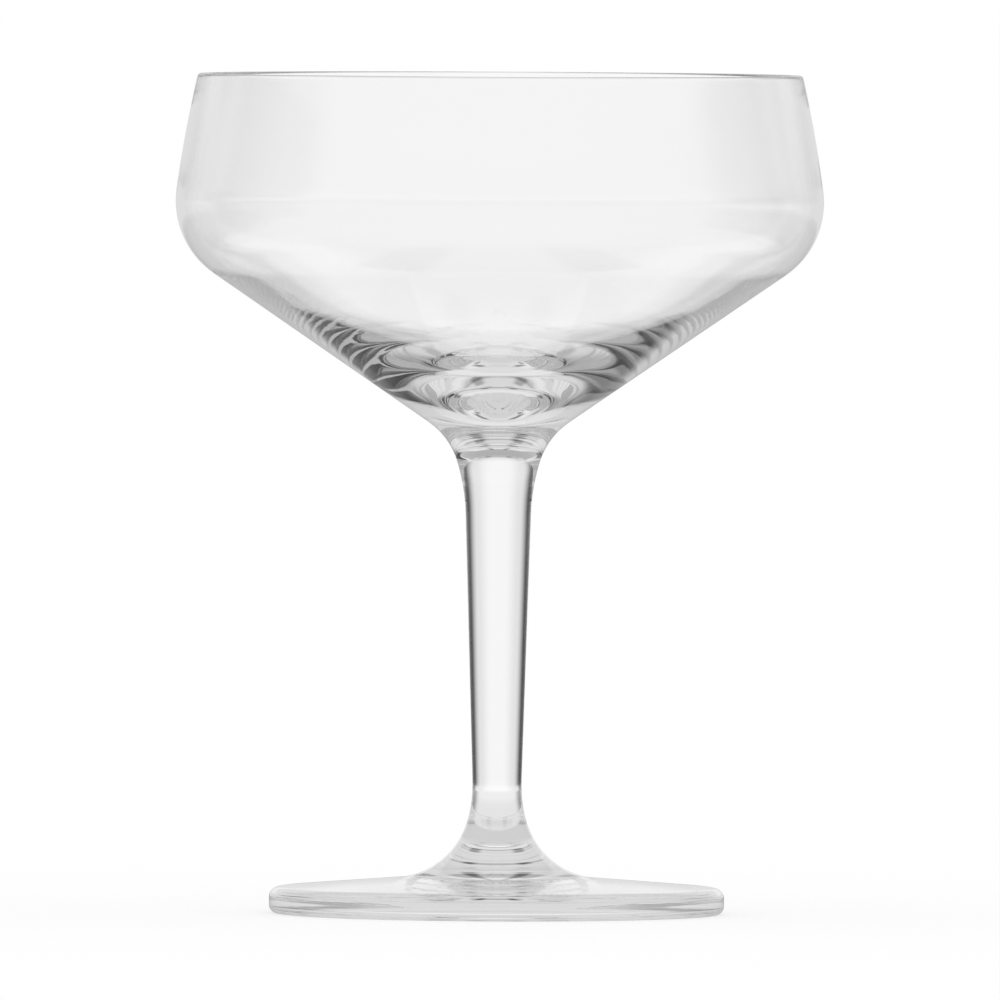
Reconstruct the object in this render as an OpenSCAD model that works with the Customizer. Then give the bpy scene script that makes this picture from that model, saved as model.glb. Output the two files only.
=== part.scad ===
// Coupe glass: a clear stemmed cocktail glass of three fused pieces, the bowl, the stem and the foot.
// Each piece is turned about Z from one outline. The origin is on the table, under the stem.

/* [Foot] */
// Diameter of the foot
foot_d = 71.6; // [56:0.2:90]
// Height of the foot's upper face where it meets the edge
foot_edge_t = 4.05; // [3:0.05:6]
// Fall of the foot's upper face towards its edge, degrees
foot_slope = 4.5; // [2:0.1:8]
// Radius on the upper corner of the foot's edge
edge_top_r = 1.5; // [0.6:0.1:1.6]
// Radius on the lower corner of the foot's edge
edge_low_r = 1.3; // [0.6:0.1:1.4]
// Radius of the flare that lifts the foot to the stem
flare_r = 12.3; // [8:0.1:18]
// Width of the flat ring that the foot stands on
rest_w = 4; // [2:0.1:8]
// Rise of the hollow under the foot
hollow_h = 1.2; // [0.5:0.1:3]

/* [Stem] */
// Length of the stem between its two fused ends
stem_l = 57.1; // [30:0.1:110]
// Diameter of the stem at its narrowest
waist_d = 7.7; // [5:0.1:12]
// Lean of the stem's side, thicker towards the bowl, degrees
stem_taper = 1.76; // [0.4:0.02:3]
// Radius of the stem's spread into the foot
tail_r = 20; // [8:0.5:30]
// Lean of the surface at the seam of stem and foot, degrees
tail_lean = 17; // [10:0.5:35]
// Radius of the stem's spread into the bowl
head_r = 30; // [8:0.5:40]
// Lean of the surface at the seam of stem and bowl, degrees
head_lean = 17.9; // [10:0.1:30]

/* [Bowl] */
// Widest diameter of the bowl, at its shoulder
bowl_d = 102; // [94:0.5:126]
// Height of the wall from the widest ring to the rim
wall_h = 20.1; // [10:0.1:45]
// Lean of the wall towards the axis where it leaves the shoulder, degrees
wall_lean = 7.7; // [2:0.1:14]
// Radius of the wall's slight bulge from shoulder to rim
wall_r = 203; // [100:1:400]
// Radius of the shoulder, outside
shoulder_r = 13.8; // [8:0.1:18]
// Slope of the lower bowl, outside, degrees
cone_slope = 34.4; // [32:0.1:38]
// Radius of the bowl's root, which runs down into the stem
root_r = 11.4; // [6:0.1:20]
// Thickness of the wall at the rim
rim_t = 1.3; // [0.9:0.05:2]
// Thickness of the wall round the shoulder
wall_t = 1.5; // [0.9:0.05:2.6]
// How much flatter the lower bowl is inside than outside, degrees
wedge = 2.2; // [1:0.1:5]
// Radius of the belly that eases the inside from its cone towards the floor
belly_r = 150; // [100:1:165]
// Slope inside where the belly meets the floor, degrees
floor_slope = 18.9; // [17:0.1:24]
// Radius of the rounded floor inside the bowl
floor_r = 13.5; // [6:0.5:18]

/* [Hidden] */

// Clear, faintly grey glass
glass_tint = [0.90, 0.92, 0.92, 0.5];
// Segments of a full turn, degrees between the points of an arc, and the fewest steps in one
$fn = 180;
arc_step = 3;
arc_least = 6;

// Points on an arc about centre c, from angle a to angle b
function arc(c, r, a, b) =
    let (n = max(arc_least, ceil(abs(b - a) / arc_step)))
    [for (i = [0 : n]) c + r * [cos(a + (b - a) * i / n), sin(a + (b - a) * i / n)]];

// The same without its first point, for an arc that goes on where the one before ends
function arc_on(c, r, a, b) =
    let (points = arc(c, r, a, b))
    [for (i = [1 : len(points) - 1]) points[i]];

// Stem: radii where it meets its neighbours follow from its waist and its two spreads
waist_r = waist_d / 2;
tail_c_r = waist_r + tail_r;
foot_seam_r = tail_c_r - tail_r * cos(tail_lean);

// Foot: its flare starts at the stem's end and runs out tangent to the sloping upper face
foot_r = foot_d / 2;
flare_c_r = foot_seam_r + flare_r * cos(tail_lean);
flare_end_r = flare_c_r - flare_r * sin(foot_slope);
flare_end_z = foot_edge_t + (foot_r - flare_end_r) * tan(foot_slope);
flare_c_z = flare_end_z + flare_r * cos(foot_slope);
foot_seam_z = flare_c_z - flare_r * sin(tail_lean);
// Centre of the edge's upper rounding, which touches the side and the sloping face
edge_c_z = foot_edge_t + edge_top_r * tan(foot_slope) - edge_top_r / cos(foot_slope);
// The hollow under the foot is a shallow dome inside the ring that it stands on
rest_out_r = foot_r - edge_low_r;
hollow_w = rest_out_r - rest_w;
hollow_r = (hollow_w * hollow_w + hollow_h * hollow_h) / (2 * hollow_h);

// Stem: places along Z, from the foot's seam upwards
tail_c_z = foot_seam_z + tail_r * sin(tail_lean);
bowl_seam_z = foot_seam_z + stem_l;
head_c_z = bowl_seam_z - head_r * sin(head_lean);
shaft_low = [tail_c_r - tail_r * cos(stem_taper), tail_c_z + tail_r * sin(stem_taper)];
shaft_top_z = head_c_z + head_r * sin(stem_taper);
shaft_top_r = shaft_low[0] + (shaft_top_z - shaft_low[1]) * tan(stem_taper);
head_c_r = shaft_top_r + head_r * cos(stem_taper);
bowl_seam_r = head_c_r - head_r * cos(head_lean);

// Bowl, outside: root arc, cone, shoulder arc and leaning wall, each tangent to the next
root_c = [bowl_seam_r + root_r * cos(head_lean), bowl_seam_z - root_r * sin(head_lean)];
cone_low = root_c + root_r * [-sin(cone_slope), cos(cone_slope)];
shoulder_c_r = bowl_d / 2 - shoulder_r;
cone_top_r = shoulder_c_r + shoulder_r * sin(cone_slope);
cone_top_z = cone_low[1] + (cone_top_r - cone_low[0]) * tan(cone_slope);
shoulder_c = [shoulder_c_r, cone_top_z + shoulder_r * cos(cone_slope)];
glass_h = shoulder_c[1] + wall_h;
// The wall bulges a little, so it leans more at the rim, which is a full round
wall_c = shoulder_c + (shoulder_r - wall_r) * [cos(wall_lean), sin(wall_lean)];
rim_r = rim_t / 2;
rim_lean = asin((glass_h - rim_r - wall_c[1]) / (wall_r - rim_r));
rim_c = wall_c + (wall_r - rim_r) * [cos(rim_lean), sin(rim_lean)];

// Bowl, inside: a straight wall that touches the rim's round and the shoulder, then the cone,
// whose wall thickens downwards, the belly and the rounded floor
inner_r = shoulder_r - wall_t;
rim_run = rim_c - shoulder_c;
inner_lean = atan2(rim_run[1], rim_run[0]) - acos((inner_r + rim_r) / norm(rim_run));
inner_slope = cone_slope - wedge;
inner_top = shoulder_c + inner_r * [sin(inner_slope), -cos(inner_slope)];
floor_edge_r = floor_r * sin(floor_slope);
belly_edge_r = floor_edge_r + belly_r * (sin(inner_slope) - sin(floor_slope));
belly_edge_z = inner_top[1] - (inner_top[0] - belly_edge_r) * tan(inner_slope);
belly_c = [belly_edge_r, belly_edge_z] + belly_r * [-sin(inner_slope), cos(inner_slope)];
floor_c_z = belly_c[1] - (belly_r - floor_r) * cos(floor_slope);

module foot() {
    color(glass_tint)
    rotate_extrude()
    polygon(concat(
        arc([0, hollow_h - hollow_r], hollow_r, 90, acos(hollow_w / hollow_r)),
        arc([rest_out_r, edge_low_r], edge_low_r, -90, 0),
        arc([foot_r - edge_top_r, edge_c_z], edge_top_r, 0, 90 - foot_slope),
        arc([flare_c_r, flare_c_z], flare_r, 270 - foot_slope, 180 + tail_lean),
        [[0, foot_seam_z]]
    ));
}

module stem() {
    color(glass_tint)
    rotate_extrude()
    polygon(concat(
        [[0, foot_seam_z]],
        arc([tail_c_r, tail_c_z], tail_r, 180 + tail_lean, 180 - stem_taper),
        arc([head_c_r, head_c_z], head_r, 180 - stem_taper, 180 - head_lean),
        [[0, bowl_seam_z]]
    ));
}

module bowl() {
    color(glass_tint)
    rotate_extrude()
    polygon(concat(
        [[0, bowl_seam_z]],
        arc(root_c, root_r, 180 - head_lean, 90 + cone_slope),
        arc(shoulder_c, shoulder_r, cone_slope - 90, wall_lean),
        arc_on(wall_c, wall_r, wall_lean, rim_lean),
        arc_on(rim_c, rim_r, rim_lean, 180 + inner_lean),
        arc(shoulder_c, inner_r, inner_lean, inner_slope - 90),
        arc(belly_c, belly_r, inner_slope - 90, floor_slope - 90),
        arc_on([0, floor_c_z], floor_r, floor_slope - 90, -90)
    ));
}

bowl();
stem();
foot();
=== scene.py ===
# %% [markdown]
# A clear coupe glass, dressed in Blender. The construction model gives three pieces of glass that were
# fused while hot: a wide bowl, a tapered stem and a round foot. They are solids with the right sizes,
# but their curves are made of flat facets, and clear glass shows every facet. In this lesson each piece
# is turned again as a smooth mesh in the same place, gets real glass, and is lit in the way that clear
# glass is photographed.

# %% Load the construction model
import math

import bmesh
import bpy
from mathutils import Matrix, Vector


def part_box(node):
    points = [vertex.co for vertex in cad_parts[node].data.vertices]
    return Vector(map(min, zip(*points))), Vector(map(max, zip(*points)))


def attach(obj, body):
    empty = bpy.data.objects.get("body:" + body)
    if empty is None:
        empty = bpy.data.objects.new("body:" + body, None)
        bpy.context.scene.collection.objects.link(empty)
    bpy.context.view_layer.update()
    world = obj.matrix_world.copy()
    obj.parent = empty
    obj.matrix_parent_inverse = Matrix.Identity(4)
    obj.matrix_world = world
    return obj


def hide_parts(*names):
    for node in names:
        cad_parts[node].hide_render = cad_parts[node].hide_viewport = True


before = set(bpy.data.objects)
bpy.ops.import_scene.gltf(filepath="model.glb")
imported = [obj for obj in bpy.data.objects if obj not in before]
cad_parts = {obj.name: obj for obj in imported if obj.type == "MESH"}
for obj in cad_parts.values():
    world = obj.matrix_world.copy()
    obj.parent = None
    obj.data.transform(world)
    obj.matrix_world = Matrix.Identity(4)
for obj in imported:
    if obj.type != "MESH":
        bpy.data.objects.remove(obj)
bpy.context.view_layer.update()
scene = bpy.context.scene


def in_mm(metres, digits=2):
    return round(metres * 1000, digits)


print("construction pieces:", sorted(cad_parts))

# %% [markdown]
# The photograph was taken from far away with a long lens. The rim shows as a line and the foot as a very
# thin ellipse, and a camera close by would open both. So the camera stands five metres off, a little
# higher than the rim, and its lens is worked out from the width of scene that the picture covers. The
# glass leans a hair in the picture, which is the camera's own roll, so the camera rolls and the glass
# stays upright.

# %% Camera
picture_width = 0.15726       # metres of scene across the picture, at the stem
camera_distance = 5.0
camera_height = 0.1756
aim = Vector((0.00025, 0.0, 0.0651))
camera_roll = math.radians(0.28)

long_lens = bpy.data.cameras.new("long_lens")
long_lens.sensor_width = 36.0
long_lens.lens = long_lens.sensor_width * camera_distance / picture_width
camera = bpy.data.objects.new("camera", long_lens)
scene.collection.objects.link(camera)
camera.location = (aim.x, -camera_distance, camera_height)
look = (aim - camera.location).to_track_quat("-Z", "Y")
camera.rotation_mode = "QUATERNION"
camera.rotation_quaternion = look @ Matrix.Rotation(camera_roll, 3, "Z").to_quaternion()
scene.camera = camera
scene.view_settings.view_transform = "Standard"
print("lens in mm:", round(long_lens.lens, 1))

# %% [markdown]
# Thick glass mirrors light inside itself many times over before it lets it out. Blender gives up on a ray
# after a few turns and shows black there, so the number of turns is raised. The thin rim needs the most,
# because light that gets into the wall runs up and down in it for a long time.

# %% Turns that a ray may take
most_turns = 160
scene.cycles.max_bounces = most_turns
scene.cycles.glossy_bounces = most_turns
scene.cycles.transmission_bounces = most_turns
scene.cycles.transparent_max_bounces = most_turns
print("turns allowed:", scene.cycles.max_bounces)

# %% [markdown]
# Materials and the studio are both wired from nodes. These small helpers keep the wiring short. One adds
# a node and fills its sockets, and one does a sum. Fade goes from 0 to 1 between two values, band cuts
# out a stretch with soft edges, and both keeps what two places share. Summed adds up lights, each with
# its own strength and place, and passing goes over from one light to another.

# %% Wiring helpers
def put(tree, socket, value):
    if isinstance(value, bpy.types.NodeSocket):
        tree.links.new(value, socket)
    else:
        socket.default_value = value


def wire(tree, kind, **inputs):
    node = tree.nodes.new(kind)
    for name, value in inputs.items():
        put(tree, node.inputs[name.replace("_", " ")], value)
    return node


def calc(tree, operation, first, second=0.0):
    node = tree.nodes.new("ShaderNodeMath")
    node.operation = operation
    put(tree, node.inputs[0], first)
    put(tree, node.inputs[1], second)
    return node.outputs[0]


def fade(tree, value, start, end):
    node = wire(tree, "ShaderNodeMapRange", Value=value, From_Min=start, From_Max=end)
    node.interpolation_type = "SMOOTHSTEP"
    return node.outputs["Result"]


def band(tree, value, low, high, soft):
    return calc(tree, "MULTIPLY", fade(tree, value, low - soft, low + soft),
                fade(tree, value, high + soft, high - soft))


def both(tree, *places):
    shared = places[0]
    for place in places[1:]:
        shared = calc(tree, "MULTIPLY", shared, place)
    return shared


def summed(tree, plain, *lights):
    level = plain
    for strength, place in lights:
        level = calc(tree, "ADD", level, calc(tree, "MULTIPLY", place, strength))
    return level


def passing(tree, value, start, end, before, after):
    return summed(tree, 0.0, (before, fade(tree, value, end, start)), (after, fade(tree, value, start, end)))


print("helpers ready")

# %% [markdown]
# Clear glass has no colour of its own: all that the eye sees is the studio, bent and mirrored. Such glass
# is lit with a bright backdrop, dark flags on both sides and a pale table, so that the wall stays clear
# and the edges draw themselves in grey. A ray can reach the studio from the glass in three ways: straight
# through it, off its skin, or mirrored inside it. In a real studio screens and flags stand in the way of
# one and not of another. Here the Light Path node tells the three apart, so that each can be given its
# own backdrop without a crowd of screens. Rays that never touched the glass see plain white.

# %% Three ways out of the glass
under_one = 0.5         # a count of turns is above this from the first turn on


def ways_out(tree):
    path = tree.nodes.new("ShaderNodeLightPath").outputs
    touched = calc(tree, "MAXIMUM", path["Is Glossy Ray"], path["Is Transmission Ray"])
    mirrored = calc(tree, "GREATER_THAN", path["Glossy Depth"], under_one)
    entered = calc(tree, "GREATER_THAN", path["Transmission Depth"], under_one)
    straight = calc(tree, "MULTIPLY", touched, calc(tree, "SUBTRACT", 1.0, mirrored))
    inside = calc(tree, "MULTIPLY", mirrored, entered)
    skin = calc(tree, "MULTIPLY", mirrored, calc(tree, "SUBTRACT", 1.0, entered))
    free = calc(tree, "SUBTRACT", 1.0, touched)
    return free, straight, skin, inside


print("ways out of the glass: straight, off the skin, mirrored inside")

# %% [markdown]
# The studio is planned in degrees round the glass, as on a sketch of the room from above. A turn is 0
# straight behind the glass, 90 to its right and -90 to its left. What lies aside is counted from the line
# through camera and glass, alike in front and behind, so that the glass stays clear from behind too. The
# screen and the flags stand on the table, so walls and table share these numbers.

# %% Plan of the studio
screen_sides = (56, 30)         # degrees aside where the screen begins, and where it is full
screen_core = (30, 8)           # the same for its brighter middle
screen_wings = (76, 86)         # the same for the wings that keep views from the side clear
core_light = 0.17
right_flag_turns = (48, 100)
left_flag_turns = (48, 86)
flag_soft = 9


def degrees(tree, radians):
    return calc(tree, "MULTIPLY", radians, math.degrees(1))


def turn_of(tree, right, back):
    return degrees(tree, calc(tree, "ARCTAN2", right, back))


def off_axis(tree, turn):
    from_side = calc(tree, "SUBTRACT", calc(tree, "ABSOLUTE", turn), 90.0)
    return calc(tree, "SUBTRACT", 90.0, calc(tree, "ABSOLUTE", from_side))


def bright_screen(tree, aside, plain, light, wing_light):
    return summed(tree, plain, (light, fade(tree, aside, *screen_sides)),
                  (core_light, fade(tree, aside, *screen_core)),
                  (wing_light, fade(tree, aside, *screen_wings)))


print("flags in degrees: right", right_flag_turns, "left", left_flag_turns)

# %% [markdown]
# The walls of the studio are the world, which Blender asks for light in each direction: a turn and a tilt
# above the table. Straight rays find the bright screen, which falls off to both sides and so gives the
# stem its dark edges. Overhead it passes into a greyer ceiling.

# %% Walls for straight rays
walls = bpy.data.worlds.new("studio_walls")
scene.world = walls
walls.use_nodes = True
tree = walls.node_tree
tree.nodes.clear()
direction = tree.nodes.new("ShaderNodeTexCoord").outputs["Generated"]
right, back, up = wire(tree, "ShaderNodeSeparateXYZ", Vector=direction).outputs
turn = turn_of(tree, right, back)
off_back = calc(tree, "ABSOLUTE", turn)
to_left = calc(tree, "MULTIPLY", turn, -1.0)
tilt = degrees(tree, calc(tree, "ARCSINE", up))

wall_light, wing_light, ceiling_light = 0.80, 0.90, 0.58
ceiling_tilts = (25, 45)
low_screen = bright_screen(tree, off_axis(tree, turn), 0.0, wall_light, wing_light)
screen = passing(tree, tilt, *ceiling_tilts, low_screen, ceiling_light)
print("ceiling starts at a tilt of", ceiling_tilts[0], "degrees")

# %% [markdown]
# The skin of the glass mirrors the room much more weakly. The wall behind is the brightest, the sides are
# dimmer and shade the outer edges of the bowl, and a low strip of light brightens the top of the foot,
# which mirrors it at a flat angle. The ceiling is dim.

# %% Walls for the skin
side_light, back_light, strip_light, skin_ceiling_light = 0.40, 0.35, 0.25, 0.30
back_turns, strip_tilts, skin_ceiling_tilts = (55, 15), (6, 11, 3), (26, 34)
low_room = summed(tree, side_light, (back_light, fade(tree, off_back, *back_turns)),
                  (strip_light, band(tree, tilt, *strip_tilts)))
room = passing(tree, tilt, *skin_ceiling_tilts, low_room, skin_ceiling_light)
print("strip of light between tilts of", strip_tilts[0], "and", strip_tilts[1], "degrees")

# %% [markdown]
# Rays mirrored inside find a dark flag on the right, raised just enough to leave a thin bright gap over
# the table, and a grey one on the left with a darker foot. The gap is what draws the row of bright fins
# in the thick lower bowl. Behind the glass the screen is brighter high up, with a dimmer middle and the
# two dark stands that carry it, which darken the middle of the foot.

# %% Walls for mirrored rays
room_light, screen_light, high_light, gap_light = 0.42, 0.29, 0.13, 0.50
right_flag_dark, left_flag_dark, left_foot_dark = -0.42, -0.24, -0.16
middle_dark, stand_dark = -0.36, -0.36
right_flag_top, left_flag_top, gap_top, left_foot_top = (26, 16), (20, 12), (3, 1), (6, 3)
behind_turns, behind_tilts, high_tilts = (51, 41), (60, 50), (14, 26)
middle_turns, middle_tilts = (28, 22), (16, 36, 3)
stand_turns, stand_tilts = (8.5, 15, 2), (6, 60, 2)

behind = both(tree, fade(tree, off_back, *behind_turns), fade(tree, tilt, *behind_tilts))
high_behind = both(tree, behind, fade(tree, tilt, *high_tilts))
dim_middle = both(tree, fade(tree, off_back, *middle_turns), band(tree, tilt, *middle_tilts))
stands = both(tree, band(tree, off_back, *stand_turns), band(tree, tilt, *stand_tilts))
right_flag = both(tree, band(tree, turn, *right_flag_turns, flag_soft), fade(tree, tilt, *right_flag_top))
left_flag = both(tree, band(tree, to_left, *left_flag_turns, flag_soft), fade(tree, tilt, *left_flag_top))
gap = both(tree, right_flag, fade(tree, tilt, *gap_top))
left_foot = both(tree, left_flag, fade(tree, tilt, *left_foot_top))
mirrored_room = summed(tree, room_light, (screen_light, behind), (high_light, high_behind),
                       (right_flag_dark, right_flag), (gap_light, gap), (left_flag_dark, left_flag),
                       (left_foot_dark, left_foot), (middle_dark, dim_middle), (stand_dark, stands))
print("gap under the right flag:", gap_top[0], "degrees high")

# %% [markdown]
# One Background shader takes the sum. Each of the three lights counts only for its own kind of ray, and
# a strength of 1 is white.

# %% Walls put together
white = (1, 1, 1, 1)
free, straight, skin, inside = ways_out(tree)
wall_strength = summed(tree, free, (straight, screen), (skin, room), (inside, mirrored_room))
wall_shader = wire(tree, "ShaderNodeBackground", Color=white, Strength=wall_strength)
wire(tree, "ShaderNodeOutputWorld", Surface=wall_shader.outputs[0])
print("studio wall nodes:", len(tree.nodes))

# %% [markdown]
# The table is a plain pale sheet, so large that its edge never shows. Its plan uses the same turns as the
# walls, and the reach, which is the distance in metres from the middle of the glass.

# %% Pale table
table_size = 40.0
half = table_size / 2
table_corners = [(-half, -half, 0), (half, -half, 0), (half, half, 0), (-half, half, 0)]
table_mesh = bpy.data.meshes.new("pale_table")
table_mesh.from_pydata(table_corners, [], [(0, 1, 2, 3)])
table = bpy.data.objects.new("pale_table", table_mesh)
scene.collection.objects.link(table)

pale = bpy.data.materials.new("pale_floor")
pale.use_nodes = True
tree = pale.node_tree
tree.nodes.clear()
spot = tree.nodes.new("ShaderNodeNewGeometry").outputs["Position"]
right, back = wire(tree, "ShaderNodeSeparateXYZ", Vector=spot).outputs[:2]
reach_squared = calc(tree, "ADD", calc(tree, "MULTIPLY", right, right), calc(tree, "MULTIPLY", back, back))
reach = calc(tree, "SQRT", reach_squared)
turn = turn_of(tree, right, back)
off_back = calc(tree, "ABSOLUTE", turn)
to_left = calc(tree, "MULTIPLY", turn, -1.0)
aside = off_axis(tree, turn)
print("table in metres:", table_size, "by", table_size)

# %% [markdown]
# Straight rays see the table bright close to the glass, a little brighter beyond the foot, and brightest
# along the line to the screen. At the sides it has dark patches, a near one and a far one, which give the
# thick parts their grey edges. Further off it passes into the foot of the same screen as on the walls.

# %% Table for straight rays
near_light, ring_light, path_light, near_dark, far_dark = 0.80, 0.08, 0.14, -0.55, -0.66
ring_reach = (0.06, 0.14)
path_sides, path_reach = (37, 12), (0.18, 0.30)
near_dark_sides, near_dark_reach = (42, 82, 12), (0.041, 0.20, 0.006)
far_dark_sides, far_dark_reach = (52, 82, 8), (0.194, 0.206)
far_plain, far_light, far_wing_light = 0.03, 0.77, 0.85
near_to_far = (0.15, 0.75)

path = both(tree, fade(tree, aside, *path_sides), fade(tree, reach, *path_reach))
near_patch = both(tree, band(tree, aside, *near_dark_sides), band(tree, reach, *near_dark_reach))
far_patch = both(tree, band(tree, aside, *far_dark_sides), fade(tree, reach, *far_dark_reach))
near_screen = summed(tree, near_light, (ring_light, fade(tree, reach, *ring_reach)), (path_light, path),
                     (near_dark, near_patch), (far_dark, far_patch))
far_screen = bright_screen(tree, aside, far_plain, far_light, far_wing_light)
screen = passing(tree, reach, *near_to_far, near_screen, far_screen)
print("the screen's foot is full at", near_to_far[1], "m")

# %% [markdown]
# The skin of the lower bowl mirrors the table next to the glass. It is mid grey there, lighter on both
# sides, a shade darker behind where the flags keep light off it, and nearly as light as the wall far
# behind, so that hardly a line shows where table and wall meet.

# %% Table for the skin
plain_light, beside_light, shade_dark, horizon_light = 0.40, 0.35, -0.12, 0.33
beside_turns, beside_reach = (48, 110, 10), (0.07, 0.22, 0.025)
shade_turns, shade_reach = (20, 43, 9), (0.07, 0.16, 0.025)
horizon_reach, horizon_back = (0.8, 1.5), (0.02, 0.3)

beside = both(tree, band(tree, off_back, *beside_turns), band(tree, reach, *beside_reach))
flag_shade = both(tree, band(tree, off_back, *shade_turns), band(tree, reach, *shade_reach))
horizon = both(tree, fade(tree, reach, *horizon_reach), fade(tree, back, *horizon_back))
room = summed(tree, plain_light, (beside_light, beside), (shade_dark, flag_shade), (horizon_light, horizon))
print("light beside the glass from", beside_reach[0], "to", beside_reach[1], "m")

# %% [markdown]
# For rays mirrored inside, the flags stand on the table from 28 cm outwards, and the bright gap under the
# right one is the table far beyond it. Nearer there is a ring of brighter table, and the foot keeps a little
# light off the middle. Two shaded corners in front of the foot draw the dark streaks at the ends of its
# edge.

# %% Table for mirrored rays
table_light, under_dark, clear_light = 0.72, -0.07, 0.10
table_right_dark, table_left_dark, left_far_dark, corner_dark = -0.72, -0.54, -0.20, -0.60
under_reach, clear_reach, flag_reach = (0.03, 0.02), (0.07, 0.28, 0.02), (0.25, 0.31)
gap_reach, left_far_reach = (1.5, 2.3), (1.0, 1.4)
corner_out, corner_back, corner_reach = (0.032, 0.07, 0.006), (0.004, -0.012), (0.13, 0.09)

standing = fade(tree, reach, *flag_reach)
right_flag = both(tree, band(tree, turn, *right_flag_turns, flag_soft), standing)
left_flag = both(tree, band(tree, to_left, *left_flag_turns, flag_soft), standing)
gap = both(tree, right_flag, fade(tree, reach, *gap_reach))
left_far = both(tree, left_flag, fade(tree, reach, *left_far_reach))
corner_shade = both(tree, band(tree, calc(tree, "ABSOLUTE", right), *corner_out),
                    fade(tree, back, *corner_back), fade(tree, reach, *corner_reach))
mirrored_table = summed(tree, table_light, (under_dark, fade(tree, reach, *under_reach)),
                        (clear_light, band(tree, reach, *clear_reach)), (table_right_dark, right_flag),
                        (gap_light, gap), (table_left_dark, left_flag), (left_far_dark, left_far),
                        (corner_dark, corner_shade))
print("flags stand on the table from", round(sum(flag_reach) / 2, 2), "m")

# %% [markdown]
# To the camera the table is nearly white by its own glow, and the rest of its colour is lit, so that the
# glass keeps its soft shadow. Rays from the glass get only the glow planned above: for them the lit part
# is swapped for a shader that gives no light.

# %% Table put together
own_glow, lit_grey = 0.7, 0.3
free, straight, skin, inside = ways_out(tree)
seen = summed(tree, 0.0, (straight, screen), (skin, room), (inside, mirrored_table))
glow = wire(tree, "ShaderNodeEmission", Color=white, Strength=summed(tree, seen, (own_glow, free)))
lit = wire(tree, "ShaderNodeBsdfDiffuse", Color=(lit_grey, lit_grey, lit_grey, 1))
unlit = wire(tree, "ShaderNodeEmission", Strength=0.0)
lit_part = wire(tree, "ShaderNodeMixShader", Fac=free)
tree.links.new(unlit.outputs[0], lit_part.inputs[1])
tree.links.new(lit.outputs[0], lit_part.inputs[2])
table_shader = tree.nodes.new("ShaderNodeAddShader")
tree.links.new(lit_part.outputs[0], table_shader.inputs[0])
tree.links.new(glow.outputs[0], table_shader.inputs[1])
wire(tree, "ShaderNodeOutputMaterial", Surface=table_shader.outputs[0])
table_mesh.materials.append(pale)
print("table nodes:", len(tree.nodes))

# %% [markdown]
# The glass is a colourless, fire-polished tableware glass. One Principled shader with full transmission
# gives the bending and the mirroring, and its numbers sit on its own sockets. A flame leaves a surface
# without scratches but never quite flat: it swims by a few thousandths of a millimetre over a centimetre.
# A faint bump from soft noise does that, and the thick parts show it as mottling.

# %% Clear glass
glass_index = 1.515
swim_scale, swim_detail, swim_roughness, swim_depth = 160.0, 2.0, 0.4, 0.00001

clear_glass = bpy.data.materials.new("clear_glass")
clear_glass.use_nodes = True
tree = clear_glass.node_tree
shader = tree.nodes["Principled BSDF"]
shader.inputs["Base Color"].default_value = white
shader.inputs["Roughness"].default_value = 0.0
shader.inputs["IOR"].default_value = glass_index
shader.inputs["Transmission Weight"].default_value = 1.0
place = tree.nodes.new("ShaderNodeTexCoord").outputs["Object"]
swim = wire(tree, "ShaderNodeTexNoise", Vector=place, Scale=swim_scale, Detail=swim_detail,
            Roughness=swim_roughness)
polish_bump = wire(tree, "ShaderNodeBump", Height=swim.outputs[0], Strength=1.0, Distance=swim_depth)
tree.links.new(polish_bump.outputs["Normal"], shader.inputs["Normal"])
print("index of the glass:", glass_index)

# %% [markdown]
# Where two pieces were fused there is no surface left: light passes as if the seam weren't there. Each
# piece still has to be a closed mesh, so its seam is a flat disc with a Transparent shader, which lets
# every ray by unchanged.

# %% Fused seam
fused_seam = bpy.data.materials.new("fused_seam")
fused_seam.use_nodes = True
tree = fused_seam.node_tree
tree.nodes.clear()
see_through = tree.nodes.new("ShaderNodeBsdfTransparent")
wire(tree, "ShaderNodeOutputMaterial", Surface=see_through.outputs[0])
print("seam nodes:", len(tree.nodes))

# %% [markdown]
# Every piece is round about the stem, so its whole form is in one outline: a line of points, each with a
# radius and a height. A spline would have to be fitted by eye. The construction model draws its outlines
# from arcs and tangent lines with named sizes, so the same sizes are used here and the meshes land on the
# solids. The helpers give the points of an arc, join runs with straight lines, and space points evenly.

# %% Outline helpers
line_step = 0.0008          # metres between the points of a straight line
arc_step = 1.0              # degrees between the points of an arc, where nothing else is said
fewest_arc_steps = 8
touching = 1e-7             # metres: points closer than this are one point


def sin(angle):
    return math.sin(math.radians(angle))


def cos(angle):
    return math.cos(math.radians(angle))


def tan(angle):
    return math.tan(math.radians(angle))


def on_circle(centre, radius, angle):
    return (centre[0] + radius * cos(angle), centre[1] + radius * sin(angle))


def arc(centre, radius, start, end, step=arc_step):
    count = max(fewest_arc_steps, math.ceil(abs(end - start) / step))
    return [on_circle(centre, radius, start + (end - start) * i / count) for i in range(count + 1)]


def along(first, last, share):
    return tuple(a + (b - a) * share for a, b in zip(first, last))


def joined(*runs):
    points = list(runs[0])
    for run in runs[1:]:
        start, gap = points[-1], math.dist(points[-1], run[0])
        count = max(1, round(gap / line_step))
        points += [along(start, run[0], i / count) for i in range(1, count)]
        points += run if gap > touching else run[1:]
    return points


def evened(points, gap):
    runs = [math.dist(p, q) for p, q in zip(points, points[1:])]
    length = sum(runs)
    count = round(length / gap)
    even, k, done = [points[0]], 0, 0.0
    for i in range(1, count):
        want = length * i / count
        while done + runs[k] < want:
            done += runs[k]
            k += 1
        even.append(along(points[k], points[k + 1], (want - done) / runs[k]))
    return even + [points[-1]]


print("a quarter arc has", len(arc((0, 0), 1, 0, 90)), "points")

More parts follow.
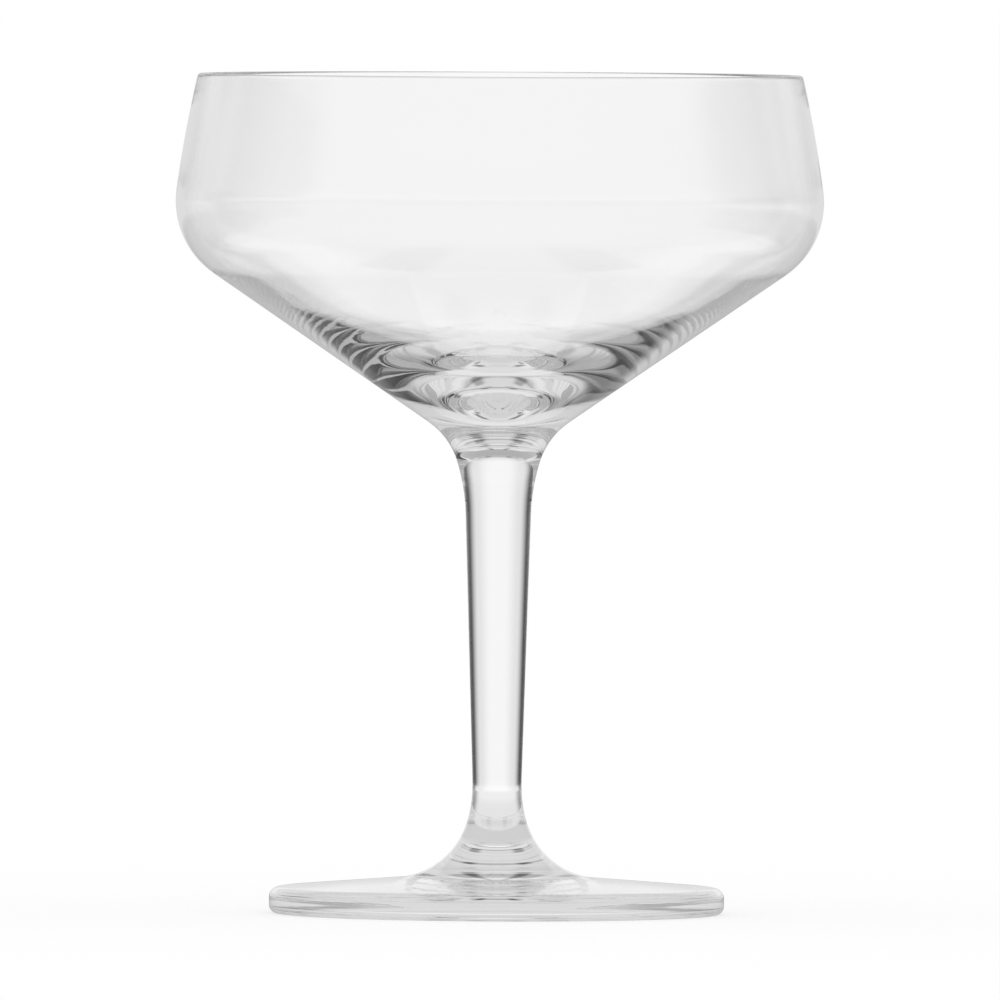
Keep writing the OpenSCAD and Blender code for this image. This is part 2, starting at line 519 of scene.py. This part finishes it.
# %% [markdown]
# On the real glass the flame melts the surface a little, so that one curve runs into the next without a
# jump. A jump in curvature shows in glass as a hard line in the reflections. Fire polishing here is a
# moving average along the outline: each point moves to the mean of its neighbours within reach, and the
# two ends stay where they are. The thin foot is polished less than stem and bowl.

# %% Fire polish
polish_gap = 0.0002
foot_polish, stem_polish, bowl_polish = 0.001, 0.002, 0.002


def polished(points, reach):
    even = evened(points, polish_gap)
    span = round(reach / polish_gap)
    smooth = []
    for i in range(len(even)):
        w = min(span, i, len(even) - 1 - i)
        shares = [1 + math.cos(math.pi * j / (w + 1)) for j in range(-w, w + 1)]
        near = even[i - w:i + w + 1]
        smooth.append(tuple(sum(s * p[k] for s, p in zip(shares, near)) / sum(shares) for k in (0, 1)))
    return smooth


print("points on a polished centimetre:", len(polished([(0, 0), (0.01, 0)], foot_polish)))

# %% [markdown]
# A foot is pressed and then spun while it cools, and the tool leaves faint rings, a few thousandths of a
# millimetre deep. In the flare above the foot they show as fine level streaks. They could be a texture,
# but rings in the outline itself also turn the light inside the glass, as the real ones do. Each ring
# moves a point along the outline's own normal, two waves of different pitch keep them from looking ruled,
# and the depth fades to nothing at both ends of the run.

# %% Tool rings
ring_depth, ring_pitch = 0.0000025, 0.0013
main_share, second_share, second_pitch_share = 0.6, 0.4, 0.62
fade_length = 3 * ring_pitch


def ring_wave(done):
    main = math.sin(2 * math.pi * done / ring_pitch)
    second = math.sin(2 * math.pi * done / (second_pitch_share * ring_pitch))
    return main_share * main + second_share * second


def ringed(points):
    runs = [math.dist(p, q) for p, q in zip(points, points[1:])]
    length, done, marked = sum(runs), 0.0, [points[0]]
    for i in range(1, len(points) - 1):
        done += runs[i - 1]
        ends = min(1.0, done / fade_length, (length - done) / fade_length)
        shift = ring_depth * ends * ring_wave(done)
        step = [points[i + 1][k] - points[i - 1][k] for k in (0, 1)]
        size = math.hypot(*step)
        marked.append((points[i][0] - step[1] / size * shift, points[i][1] + step[0] / size * shift))
    return marked + [points[-1]]


print("rings in mm:", in_mm(ring_depth, 4), "deep,", in_mm(ring_pitch), "apart")

# %% [markdown]
# The foot is a disc with a slightly sloping top, a rounded edge, a flat ring to stand on and a shallow
# hollow underneath. Its flare rises in one arc to the seam with the stem. The places of the edge and of
# the seam come from the construction model's box, and the other sizes are those of its drawing.

# %% Foot outline
foot_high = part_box("foot")[1]
foot_r, foot_seam_z = foot_high.x, foot_high.z
foot_slope, edge_top_r, edge_low_r, flare_r = 4.5, 0.0015, 0.0013, 0.0123
rest_w, hollow_h = 0.004, 0.0012
waist_r, tail_r, tail_lean = 0.00385, 0.020, 17.0
hollow_step, edge_step = 0.1, 3

tail_c = (waist_r + tail_r, foot_seam_z + tail_r * sin(tail_lean))
foot_seam_r = tail_c[0] - tail_r * cos(tail_lean)
flare_c = (foot_seam_r + flare_r * cos(tail_lean), foot_seam_z + flare_r * sin(tail_lean))
flare_end = on_circle(flare_c, flare_r, 270 - foot_slope)
edge_t = flare_end[1] - (foot_r - flare_end[0]) * tan(foot_slope)
edge_c = (foot_r - edge_top_r, edge_t + edge_top_r * tan(foot_slope) - edge_top_r / cos(foot_slope))
rest_out = foot_r - edge_low_r
hollow_w = rest_out - rest_w
hollow_r = (hollow_w ** 2 + hollow_h ** 2) / (2 * hollow_h)
hollow_edge = math.degrees(math.acos(hollow_w / hollow_r))

underside = joined(arc((0, hollow_h - hollow_r), hollow_r, 90, hollow_edge, hollow_step),
                   arc((rest_out, edge_low_r), edge_low_r, -90, 0, edge_step))
topside = polished(joined(arc(edge_c, edge_top_r, 0, 90 - foot_slope, edge_step),
                          arc(flare_c, flare_r, 270 - foot_slope, 180 + tail_lean)), foot_polish)
edge_points = sum(1 for r, z in topside if r > edge_c[0])
topside = topside[:edge_points] + ringed(topside[edge_points:])
foot_outline = joined(underside, topside)
print("foot outline:", len(foot_outline), "points, edge", in_mm(edge_t), "mm thick")

# %% [markdown]
# The stem is drawn from the glass: narrowest just above the foot, it widens towards the bowl along a
# straight taper and spreads at both ends. The arcs at its ends carry on the lines of the foot and the
# bowl, so that nobody can tell where one ends and the next begins.

# %% Stem outline
bowl_low, bowl_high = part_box("bowl")
bowl_r, bowl_seam_z, glass_h = bowl_high.x, bowl_low.z, bowl_high.z
stem_taper, head_r, head_lean = 1.76, 0.030, 17.9
stem_step = 0.5

shaft_low = on_circle(tail_c, tail_r, 180 - stem_taper)
head_z = bowl_seam_z - head_r * sin(head_lean)
shaft_top_z = head_z + head_r * sin(stem_taper)
shaft_top_r = shaft_low[0] + (shaft_top_z - shaft_low[1]) * tan(stem_taper)
head_c = (shaft_top_r + head_r * cos(stem_taper), head_z)
bowl_seam_r = head_c[0] - head_r * cos(head_lean)

stem_outline = polished(joined(arc(tail_c, tail_r, 180 + tail_lean, 180 - stem_taper, stem_step),
                               arc(head_c, head_r, 180 - stem_taper, 180 - head_lean, stem_step)),
                        stem_polish)
print("stem outline:", len(stem_outline), "points, waist", in_mm(2 * min(stem_outline)[0]), "mm")

# %% [markdown]
# The outside of the bowl runs from the root at the stem along a straight cone, round the shoulder and up
# a wall that leans in and bulges very slightly. The wall's arc starts where the shoulder's ends, and its
# length follows from the height of the glass.

# %% Bowl, outside
wall_lean, wall_r, shoulder_r, cone_slope, root_r, rim_t = 7.7, 0.203, 0.0138, 34.4, 0.0114, 0.0013
root_step, wall_step = 0.5, 0.2

root_c = (bowl_seam_r + root_r * cos(head_lean), bowl_seam_z - root_r * sin(head_lean))
cone_low = on_circle(root_c, root_r, 90 + cone_slope)
shoulder_c_r = bowl_r - shoulder_r
cone_top_r = shoulder_c_r + shoulder_r * sin(cone_slope)
cone_top_z = cone_low[1] + (cone_top_r - cone_low[0]) * tan(cone_slope)
shoulder_c = (shoulder_c_r, cone_top_z + shoulder_r * cos(cone_slope))
wall_c = on_circle(shoulder_c, shoulder_r - wall_r, wall_lean)
rim_r = rim_t / 2
rim_lean = math.degrees(math.asin((glass_h - rim_r - wall_c[1]) / (wall_r - rim_r)))
rim_c = on_circle(wall_c, wall_r - rim_r, rim_lean)

outside = polished(joined(arc(root_c, root_r, 180 - head_lean, 90 + cone_slope, root_step),
                          arc(shoulder_c, shoulder_r, cone_slope - 90, wall_lean),
                          arc(wall_c, wall_r, wall_lean, rim_lean, wall_step)), bowl_polish)
print("bowl outside:", len(outside), "points, rim leans in by", round(rim_lean, 1), "degrees")

# %% [markdown]
# The inside keeps a thin wall down to the shoulder. Below it the two cones part, so that the glass gets
# thicker towards the stem, and a wide belly arc and a small round lead to the floor of the bowl. The wedge
# of thick glass between inside and outside mirrors the studio many times over, and this is where the
# dark band with its fins comes from.

# %% Bowl, inside
wall_t, inner_slope, belly_r, floor_slope, floor_r = 0.0015, 32.2, 0.150, 18.9, 0.0135
belly_step, rim_step = 0.2, 10

inner_r = shoulder_r - wall_t
rim_run = (rim_c[0] - shoulder_c[0], rim_c[1] - shoulder_c[1])
rim_rise = math.degrees(math.atan2(rim_run[1], rim_run[0]))
inner_lean = rim_rise - math.degrees(math.acos((inner_r + rim_r) / math.hypot(*rim_run)))
inner_top = on_circle(shoulder_c, inner_r, inner_slope - 90)
belly_edge_r = floor_r * sin(floor_slope) + belly_r * (sin(inner_slope) - sin(floor_slope))
belly_edge_z = inner_top[1] - (inner_top[0] - belly_edge_r) * tan(inner_slope)
belly_c = (belly_edge_r - belly_r * sin(inner_slope), belly_edge_z + belly_r * cos(inner_slope))
floor_c = (0.0, belly_c[1] - (belly_r - floor_r) * cos(floor_slope))

inside_line = polished(joined([on_circle(rim_c, rim_r, 180 + inner_lean)],
                              arc(shoulder_c, inner_r, inner_lean, inner_slope - 90),
                              arc(belly_c, belly_r, inner_slope - 90, floor_slope - 90, belly_step),
                              arc(floor_c, floor_r, floor_slope - 90, -90)), bowl_polish)
rim_round = arc(rim_c, rim_r, rim_lean, 180 + inner_lean, rim_step)
bowl_outline = joined(outside, rim_round, inside_line)
print("bowl outline:", len(bowl_outline), "points, floor at", in_mm(inside_line[-1][1]), "mm")

# %% [markdown]
# Blender's Screw modifier could turn an outline, but it leaves the seam and the points on the axis to be
# cleaned up. A few lines of mesh code make every ring with the same number of points, close the ends on
# the axis with a fan, and put the flat seam disc in its own material. The mesh is closed, so Blender can
# give its volume, which is a good check of the whole outline.

# %% Turning
ring_points = 288
on_axis = 1e-9              # metres: a smaller radius is a point on the axis


def ring(mesh, r, z):
    if r < on_axis:
        return [mesh.verts.new((0, 0, z))] * ring_points
    return [mesh.verts.new((r * cos(360 * k / ring_points), r * sin(360 * k / ring_points), z))
            for k in range(ring_points)]


def turned(name, outline, seams):
    mesh = bmesh.new()
    rings = [ring(mesh, r, z) for r, z in outline]
    for low, high in zip(rings, rings[1:]):
        for k in range(ring_points):
            m = (k + 1) % ring_points
            corners = dict.fromkeys((low[k], low[m], high[m], high[k]))
            mesh.faces.new(tuple(corners)).smooth = True
    for end in seams:
        centre = mesh.verts.new((0, 0, outline[end][1]))
        for k in range(ring_points):
            disc_face = mesh.faces.new((rings[end][k], rings[end][(k + 1) % ring_points], centre))
            disc_face.material_index = 1
    bmesh.ops.recalc_face_normals(mesh, faces=mesh.faces)
    for edge in mesh.edges:
        edge.smooth = len({face.material_index for face in edge.link_faces}) == 1
    open_edges = sum(1 for edge in mesh.edges if len(edge.link_faces) != 2)
    print(name, "volume in ml:", round(mesh.calc_volume(signed=True) * 1e6, 2), "open edges:", open_edges)
    data = bpy.data.meshes.new(name)
    mesh.to_mesh(data)
    mesh.free()
    data.materials.append(clear_glass)
    data.materials.append(fused_seam)
    piece = bpy.data.objects.new(name, data)
    scene.collection.objects.link(piece)
    return piece


print("points in each ring:", ring_points)

# %% [markdown]
# Each piece takes the place of its solid in the construction model, which stays for collisions, and all
# three ride on the one body. The foot has a seam at the last point of its outline, the bowl at the first,
# and the stem at both.

# %% Foot, stem and bowl
first, last = 0, -1
pieces = {
    "foot": turned("clear_foot", foot_outline, [last]),
    "stem": turned("clear_stem", stem_outline, [first, last]),
    "bowl": turned("clear_bowl", bowl_outline, [first]),
}
for node, piece in pieces.items():
    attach(piece, "root")
    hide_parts(node)
print("pieces:", [piece.name for piece in pieces.values()])
